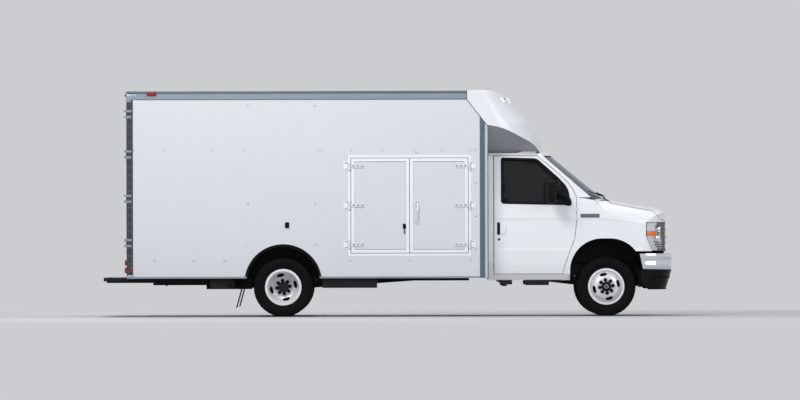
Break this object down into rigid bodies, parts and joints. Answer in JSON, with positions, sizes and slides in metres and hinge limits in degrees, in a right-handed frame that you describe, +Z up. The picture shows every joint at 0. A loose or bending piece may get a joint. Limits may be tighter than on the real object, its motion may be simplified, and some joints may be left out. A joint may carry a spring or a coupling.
{
  "type": "box truck",
  "caption": "Box truck on a cutaway van chassis, with side and rear cargo doors, hinged hood and cab doors, steered front wheels and twin rear wheels.",
  "frame": {"origin": "on the road under the middle of the truck's box", "axes": "+X forward, +Y to the truck's left, +Z up"},
  "size_m": [7.1098, 2.68, 2.812],
  "materials": {
    "white_paint": "gloss white paint",
    "white_panel": "white fibreglass skin",
    "edge_aluminium": "satin extrusion",
    "frame_black": "black chassis paint",
    "cast_metal": "rough casting",
    "chrome": "bright chrome",
    "black_plastic": "grained black plastic",
    "cab_plastic": "dark grey trim",
    "tyre_rubber": "black rubber",
    "flap_rubber": "black rubber",
    "wheel_paint": "light grey wheel paint",
    "clear_glass": "tinted safety glass",
    "lamp_glass": "clear lamp cover",
    "lamp_red": "red lamp cover",
    "seat_cloth": "woven grey cloth",
    "floor_wood": "worn hardwood"
  },
  "bodies": {
    "chassis": {"cab_body": "white_paint", "fenders": "white_paint", "box_wall_left": "white_panel", "box_wall_right": "white_panel", "box_roof": "white_panel", "box_front_wall": "white_panel", "nose_cap": "white_panel", "side_rails": "edge_aluminium", "front_posts": "edge_aluminium", "rear_frame": "edge_aluminium", "side_door_frame": "edge_aluminium", "rear_hinges": "edge_aluminium", "frame": "frame_black", "leaf_springs": "frame_black", "front_suspension": "frame_black", "rear_axle": "frame_black", "fuel_tank": "frame_black", "battery_box": "frame_black", "rear_step": "frame_black", "wheel_tubs": "frame_black", "exhaust": "frame_black", "engine": "cast_metal", "front_bumper": "chrome", "front_valance": "black_plastic", "grille": "black_plastic", "wheelhouse_liners": "black_plastic", "dashboard": "cab_plastic", "seat_bases": "cab_plastic", "mud_flaps": "flap_rubber", "windshield": "clear_glass", "headlamps": "lamp_glass", "rear_lamps": "lamp_red", "seat_cushions": "seat_cloth", "box_floor": "floor_wood"},
    "hood": {"hood": "white_paint"},
    "cab_door_left": {"cab_door_left": "white_paint", "door_glass_left": "clear_glass", "mirror_left": "black_plastic"},
    "cab_door_right": {"cab_door_right": "white_paint", "door_glass_right": "clear_glass", "mirror_right": "black_plastic"},
    "side_door_rear": {"side_door_rear": "white_panel"},
    "side_door_front": {"side_door_front": "white_panel"},
    "rear_door_left": {"rear_door_left": "white_panel"},
    "rear_door_right": {"rear_door_right": "white_panel"},
    "knuckle_left": {"knuckle_left": "cast_metal"},
    "knuckle_right": {"knuckle_right": "cast_metal"},
    "front_wheel_left": {"front_rim_left": "wheel_paint", "front_tyre_left": "tyre_rubber"},
    "front_wheel_right": {"front_rim_right": "wheel_paint", "front_tyre_right": "tyre_rubber"},
    "rear_wheels_left": {"rear_rims_left": "wheel_paint", "rear_tyres_left": "tyre_rubber"},
    "rear_wheels_right": {"rear_rims_right": "wheel_paint", "rear_tyres_right": "tyre_rubber"}
  },
  "joints": [
    {"name": "steer_left", "type": "hinge", "parent": "chassis", "child": "knuckle_left", "pos_m": [2.693, 0.79, 0.368], "axis": [0, 0, 1], "range_deg": [-32, 32]},
    {"name": "steer_right", "type": "hinge", "parent": "chassis", "child": "knuckle_right", "pos_m": [2.693, -0.79, 0.368], "axis": [0, 0, 1], "range_deg": [-32, 32]},
    {"name": "front_spin_left", "type": "hinge", "parent": "knuckle_left", "child": "front_wheel_left", "pos_m": [2.693, 0.8815, 0.368], "axis": [0, 1, 0], "continuous": true},
    {"name": "front_spin_right", "type": "hinge", "parent": "knuckle_right", "child": "front_wheel_right", "pos_m": [2.693, -0.8815, 0.368], "axis": [0, 1, 0], "continuous": true},
    {"name": "rear_spin_left", "type": "hinge", "parent": "chassis", "child": "rear_wheels_left", "pos_m": [-1.32, 0.95, 0.368], "axis": [0, 1, 0], "continuous": true},
    {"name": "rear_spin_right", "type": "hinge", "parent": "chassis", "child": "rear_wheels_right", "pos_m": [-1.32, -0.95, 0.368], "axis": [0, 1, 0], "continuous": true},
    {"name": "hood_hinge", "type": "hinge", "parent": "chassis", "child": "hood", "pos_m": [2.749, 0, 1.4385], "axis": [0, -1, 0], "range_deg": [0, 50]},
    {"name": "cab_door_hinge_left", "type": "hinge", "parent": "chassis", "child": "cab_door_left", "pos_m": [2.326, 1.009, 1.28], "axis": [0, 0, -1], "range_deg": [0, 65]},
    {"name": "cab_door_hinge_right", "type": "hinge", "parent": "chassis", "child": "cab_door_right", "pos_m": [2.326, -1.009, 1.28], "axis": [0, 0, 1], "range_deg": [0, 65]},
    {"name": "side_door_hinge_rear", "type": "hinge", "parent": "chassis", "child": "side_door_rear", "pos_m": [-0.494, -1.234, 1.378], "axis": [0, 0, -1], "range_deg": [0, 175]},
    {"name": "side_door_hinge_front", "type": "hinge", "parent": "chassis", "child": "side_door_front", "pos_m": [0.9925, -1.234, 1.378], "axis": [0, 0, 1], "range_deg": [0, 110]},
    {"name": "rear_door_hinge_left", "type": "hinge", "parent": "chassis", "child": "rear_door_left", "pos_m": [-3.279, 1.233, 1.7], "axis": [0, 0, -1], "range_deg": [0, 265]},
    {"name": "rear_door_hinge_right", "type": "hinge", "parent": "chassis", "child": "rear_door_right", "pos_m": [-3.279, -1.233, 1.7], "axis": [0, 0, 1], "range_deg": [0, 265]}
  ],
  "couplings": [
    {"joint": "steer_right", "follows": "steer_left", "ratio": 1}
  ]
}
